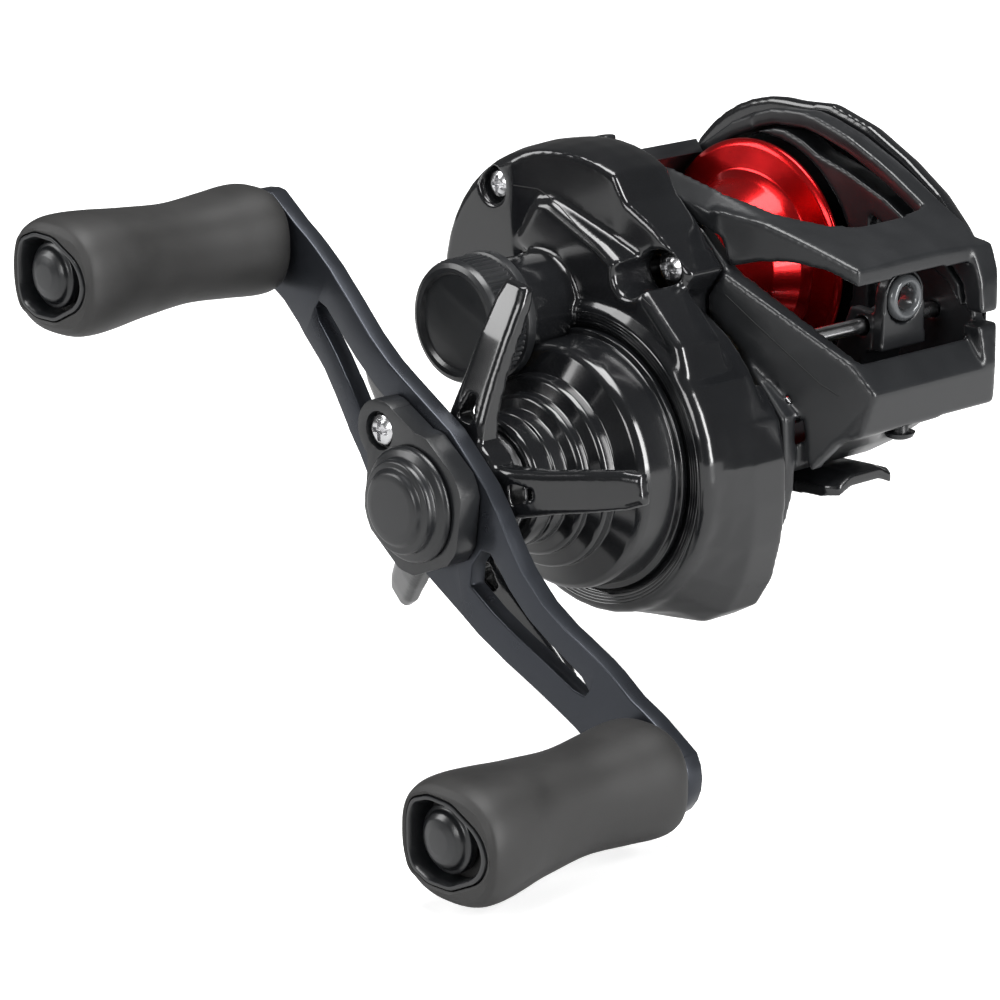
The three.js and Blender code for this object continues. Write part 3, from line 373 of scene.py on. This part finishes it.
def shieldReach(angle):
    # distance from the knob's axis to the end recess, in a direction
    direction = Vector((math.cos(angle), math.sin(angle)))
    best = 0
    for (ax, az), (bx, bz) in zip(shieldOutline, shieldOutline[1:] + shieldOutline[:1]):
        edge = Vector((bx - ax, bz - az))
        cross = direction.x * edge.y - direction.y * edge.x
        if abs(cross) < 1e-9:
            continue
        reach = (ax * edge.y - az * edge.x) / cross
        share = (ax * direction.y - az * direction.x) / cross
        if reach > 0 and -1e-6 <= share <= 1 + 1e-6:
            best = max(best, reach)
    return best


def knobRing(centre, y):
    halfX, halfZ, offset = stationAt(y)
    power = knobShape["power"]
    ring = []
    for i in range(knobShape["around"]):
        angle = 2 * math.pi * i / knobShape["around"]
        c, s = math.cos(angle), math.sin(angle)
        x = offset + halfX * math.copysign(abs(c) ** (2 / power), c)
        z = halfZ * math.copysign(abs(s) ** (2 / power), s)
        along = smoothStep(-86, -76, y) * (1 - smoothStep(-70, -58, y))   # thumb flats fade at both ends
        facing = max(0, math.cos(angle + 0.55)) ** 3 + max(0, math.cos(angle + 0.55 + math.pi)) ** 3
        scale = 1 - knobShape["scoop"] * along * facing / halfX
        ring.append((centre.x + x * scale * mm, y * mm, centre.z + z * scale * mm))
    return ring


def shieldRing(centre, y, scale):
    ring = []
    for i in range(knobShape["around"]):
        angle = 2 * math.pi * i / knobShape["around"]
        near = [shieldReach(angle + spread) for spread in (-0.12, -0.06, 0, 0.06, 0.12)]
        reach = sum(near) / len(near) * scale
        across, high = reach * math.cos(angle) * mm, reach * math.sin(angle) * mm
        ring.append((centre.x + across, y * mm, centre.z + high))
    return ring


def buildKnob(place, body):
    centre = middleOf("knob_spindle_" + place)
    first, last = knobStations[0][0], knobStations[-1][0]
    rings = [knobRing(centre, last + (first - last) * math.sin(i / knobShape["rings"] * math.pi / 2) ** 1.2)
             for i in range(knobShape["rings"] + 1)]
    rings += [shieldRing(centre, first - 0.08, 1.04), shieldRing(centre, first + 0.1, 0.99)]
    rings += [shieldRing(centre, knobShape["recessFloor"], 0.97)]
    vertices, faces = skinRings(rings)
    piece = newPiece("knobGrip_" + place, vertices, faces, "rubber", body, ["knob_" + place])
    softenEdges(piece, 0)
    lip = [(-84.95, 0.965), (-87.9, 0.965), (-88.12, 0.95), (-88.18, 0.92), (-88.14, 0.88), (-87.9, 0.855),
           (-87.2, 0.84), (-84.95, 0.83), (-84.95, 0.965)]
    vertices, faces = skinRings([shieldRing(centre, y, scale) for y, scale in lip], closeEnds=False)
    bezel = newPiece("knobRim_" + place, vertices, faces, "satinBlack", body, ["knob_bezel_" + place])
    softenEdges(bezel, 0)
    button = [(0, -87.95), (1.6, -87.88), (2.7, -87.6), (3.3, -87.2), (3.5, -86.8), (3.65, -86.65),
              (4.1, -86.5), (4.15, -86.2), (4.1, -85.4), (0, -85.2)]
    lathe("knobButton_" + place, (centre.x, centre.z), rounded(button, 0.2), "satinBlack", body,
          ["knob_cap_" + place])


for place, body in (("upper", "knob_a"), ("lower", "knob_b")):
    buildKnob(place, body)
print("knobs and spool made")

# turned caps and rings
capOutline = [
    (0, -63.2), (3.6, -63.12), (4.5, -62.95), (4.85, -62.5), (5.05, -62.3), (5.8, -62.2), (6.0, -61.8),
    (6.0, -60.9), (7.1, -60.5), (7.4, -60.1), (7.4, -59.7), (0, -59.7),
]
lathe("nutCapFine", driveCentre, rounded(capOutline, 0.25), "satinBlack", "handle", ["nut_cap"])

ringCentre = middleOf("line_guide_ring")
ringOutline = [
    (1.9, 28.6), (2.3, 28.6), (2.3, 30.2), (3.05, 30.4), (3.05, 31.2), (2.6, 31.7), (2.1, 31.7),
    (1.7, 31.2), (1.7, 29.0),
]
lathe("guideRingFine", (ringCentre.y, ringCentre.z), rounded(ringOutline, 0.3), "ceramic", "line_carriage",
      ["line_guide_ring"], closed=True, turn="x", steps=64)

bossOutline = [
    (7.4, -40.4), (4.4, -41.0), (4.4, -46.2), (8.1, -46.4), (8.6, -45.9), (8.6, -43.6), (8.3, -43.4),
    (8.3, -43.1), (8.6, -42.9), (8.6, -40.9), (10.0, -40.4), (10.4, -39.9), (10.4, -38.9), (12.1, -38.3),
    (12.4, -37.8), (12.4, -36.4), (15.2, -35.3), (15.8, -34.6), (16.0, -33.8), (16.2, -29.4), (17.0, -29.3),
    (17.0, -28.3), (8.6, -28.3), (8.6, -26.0), (7.4, -26.0),
]
lathe("driveBossFine", driveCentre, rounded(bossOutline, 0.22), "glossBlack", "reel_frame", ["drive_boss"],
      closed=True, steps=128)

for ringIndex, ringRadius in enumerate((17.85, 18.25, 18.65, 19.05)):
    bead = [(ringRadius + 0.1 * math.cos(a * math.pi / 4), -28.58 + 0.1 * math.sin(a * math.pi / 4))
            for a in range(8)]
    lathe(f"rimBead_{ringIndex}", driveCentre, bead, "glossBlack", "reel_frame", closed=True, steps=128)

castCapShape = dict(ribs=60, ribDepth=0.3, outer=8.1)


def buildCastCap():
    # finely ribbed drum with a rounded rim and a recessed end disc
    shape = castCapShape
    around = shape["ribs"] * 4
    # radius, y, whether ribbed
    profile = [(0, -42.75, 0), (6.1, -42.8, 0), (6.4, -43.3, 0), (7.0, -43.4, 0), (7.6, -43.15, 0),
               (7.9, -42.6, 0), (7.9, -42.3, 0), (7.75, -42.15, 1), (7.75, -38.3, 1), (7.9, -38.15, 0),
               (8.25, -38.0, 0), (8.3, -37.7, 0), (8.3, -36.8, 0), (7.0, -36.8, 0), (7.0, -41.0, 0),
               (0, -41.0, 0)]
    rings = []
    for radius, y, ribbed in profile:
        ring = []
        for i in range(around):
            angle = 2 * math.pi * i / around
            lift = shape["ribDepth"] * (1 if i % 4 in (1, 2) else 0) * ribbed
            reach = min(radius + lift, shape["outer"]) if ribbed else radius
            ring.append((spoolCentre[0] + reach * math.cos(angle) * mm, y * mm,
                         spoolCentre[1] + reach * math.sin(angle) * mm))
        rings.append(ring)
    vertices, faces = skinRings(rings)
    piece = newPiece("castCapFine", vertices, faces, "satinBlack", "tension_cap", ["cast_control_cap"])
    softenEdges(piece, 0)


buildCastCap()
print("turned pieces made")

# panel seams on the covers
seamShape = dict(width=0.16, step=0.35, sunk=0.02, castFrom=-90)


def surfaceOf(names):
    graph = bpy.context.evaluated_depsgraph_get()
    vertices, faces = [], []
    for name in names:
        shown = nodes[name].evaluated_get(graph)
        mesh = shown.to_mesh()
        start = len(vertices)
        vertices += [tuple(v.co) for v in mesh.vertices]
        faces += [[start + i for i in face.vertices] for face in mesh.polygons]
        shown.to_mesh_clear()
    return BVHTree.FromPolygons(vertices, faces)


def seamLine(name, points, surface, body):
    # a thin dark joint laid along the skin; the points are x and z
    path = []
    for (ax, az), (bx, bz) in zip(points, points[1:]):
        steps = max(2, int(math.hypot(bx - ax, bz - az) / seamShape["step"]))
        for k in range(steps + 1):
            t = k / steps
            path.append((ax + (bx - ax) * t, az + (bz - az) * t))
    placed = []
    for x, z in path:
        start = Vector((x * mm, seamShape["castFrom"] * mm, z * mm))
        hit, normal, _, _ = surface.ray_cast(start, Vector((0, 1, 0)))
        if hit is not None and (not placed or (hit - placed[-1]).length > 0.05 * mm):
            placed.append(hit - normal * seamShape["sunk"] * mm)
    curve = bpy.data.curves.new(name, "CURVE")
    curve.dimensions = "3D"
    curve.bevel_depth = seamShape["width"] * mm / 2
    curve.bevel_resolution = 1
    spline = curve.splines.new("POLY")
    spline.points.add(len(placed) - 1)
    for point, place in zip(spline.points, placed):
        point.co = (*place, 1)
    drawn = bpy.data.objects.new(name, curve)
    bpy.context.scene.collection.objects.link(drawn)
    mesh = bpy.data.meshes.new_from_object(drawn)
    bpy.data.objects.remove(drawn)
    piece = bpy.data.objects.new(name, mesh)
    bpy.context.scene.collection.objects.link(piece)
    mesh.materials.clear()
    mesh.materials.append(finishes["seamDark"])
    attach(piece, body)


coverSkin = surfaceOf(["handle_side_cover"])
frameSkin = surfaceOf(["frame"])
seamRuns = {
    "seamTopBand": [(-7.8, 38.6), (-4, 38.6), (0, 37.0), (5, 34.4), (9.4, 31.8)],
    "seamFrontLow": [(15.2, 28.2), (17.2, 26.9)],
}
for seamName, run in seamRuns.items():
    seamLine(seamName, run, coverSkin, "reel_frame")
seamLine("seamCheek", [(18.4, 26.6), (22, 23.6), (27, 19.6), (31, 16.4), (33.4, 15.2)], frameSkin,
         "reel_frame")
print("seams laid")

# floor, lights and camera
studio = dict(floorZ=-31.0, floorHalf=700, cameraAt=(368.7, -381.0, 145.4), lens=146.9,
              paperGlow=0.5, roomLight=0.10)


def buildStudio():
    floorMesh = bpy.data.meshes.new("floor")
    half = studio["floorHalf"] * mm
    z = studio["floorZ"] * mm
    floorMesh.from_pydata([(-half, -half, z), (half, -half, z), (half, half, z), (-half, half, z)], [],
                          [(0, 1, 2, 3)])
    floor = bpy.data.objects.new("floor", floorMesh)
    bpy.context.scene.collection.objects.link(floor)
    paper = bpy.data.materials.new("paper")
    paper.use_nodes = True
    shader = paper.node_tree.nodes["Principled BSDF"]
    shader.inputs["Roughness"].default_value = 0.9
    shader.inputs["Specular IOR Level"].default_value = 0.1
    seenFloor = paper.node_tree.nodes.new("ShaderNodeLightPath")
    tone = paper.node_tree.nodes.new("ShaderNodeMix")
    tone.data_type = "RGBA"
    tone.inputs["A"].default_value = (0.62, 0.62, 0.62, 1)
    tone.inputs["B"].default_value = (0.97, 0.97, 0.97, 1)
    paper.node_tree.links.new(seenFloor.outputs["Is Camera Ray"], tone.inputs["Factor"])
    paper.node_tree.links.new(tone.outputs["Result"], shader.inputs["Base Color"])
    glow = paper.node_tree.nodes.new("ShaderNodeMix")
    glow.data_type = "RGBA"
    glow.inputs["A"].default_value = (0, 0, 0, 1)
    glow.inputs["B"].default_value = (1, 1, 1, 1)
    paper.node_tree.links.new(seenFloor.outputs["Is Camera Ray"], glow.inputs["Factor"])
    paper.node_tree.links.new(glow.outputs["Result"], shader.inputs["Emission Color"])
    shader.inputs["Emission Strength"].default_value = studio["paperGlow"]
    floorMesh.materials.append(paper)

    world = bpy.data.worlds.new("studio")
    bpy.context.scene.world = world
    world.use_nodes = True
    tree, links = world.node_tree.nodes, world.node_tree.links
    background = tree["Background"]
    seen = tree.new("ShaderNodeLightPath")
    level = tree.new("ShaderNodeMapRange")
    level.inputs["To Min"].default_value = studio["roomLight"]
    level.inputs["To Max"].default_value = 1.0
    links.new(seen.outputs["Is Camera Ray"], level.inputs["Value"])
    links.new(level.outputs["Result"], background.inputs["Strength"])
    background.inputs["Color"].default_value = (1, 1, 1, 1)

    # name, place, aim, width and height in metres, watts
    lamps = [
        ("overhead", (0.05, -0.02, 0.80), (0, 0, 0), 0.60, 0.45, 9),
        ("rightStrip", (0.80, 0.12, 0.30), (0.01, -0.02, 0.01), 0.22, 0.6, 7),
        ("leftSoft", (-0.55, -0.60, 0.40), (0, -0.03, 0), 0.35, 0.5, 4),
        ("front", (0.30, -0.85, 0.30), (0, -0.03, 0), 0.35, 0.35, 3),
        ("cardRight", (0.50, 0.05, -0.02), (0.02, -0.02, 0.0), 0.20, 0.16, 0.5),
    ]
    for name, place, aim, width, height, watts in lamps:
        light = bpy.data.lights.new(name, "AREA")
        light.shape = "RECTANGLE"
        light.size, light.size_y = width, height
        light.energy = watts
        lamp = bpy.data.objects.new(name, light)
        bpy.context.scene.collection.objects.link(lamp)
        lamp.location = place
        lamp.rotation_euler = (Vector(aim) - Vector(place)).to_track_quat("-Z", "Y").to_euler()

    cameraData = bpy.data.cameras.new("camera")
    cameraData.lens = studio["lens"]
    cameraData.sensor_width = 36
    cameraData.clip_start = 0.01
    camera = bpy.data.objects.new("camera", cameraData)
    bpy.context.scene.collection.objects.link(camera)
    right = Vector((0.6820, 0.7314, 0)).normalized()
    back = Vector((0.7027, -0.6553, 0.2773)).normalized()
    up = back.cross(right).normalized()
    turn = Matrix((right, up, back)).transposed().to_4x4()
    camera.matrix_world = Matrix.Translation(Vector(studio["cameraAt"]) * mm) @ turn
    bpy.context.scene.camera = camera
    bpy.context.scene.view_settings.view_transform = "Standard"


buildStudio()
print("studio lit")
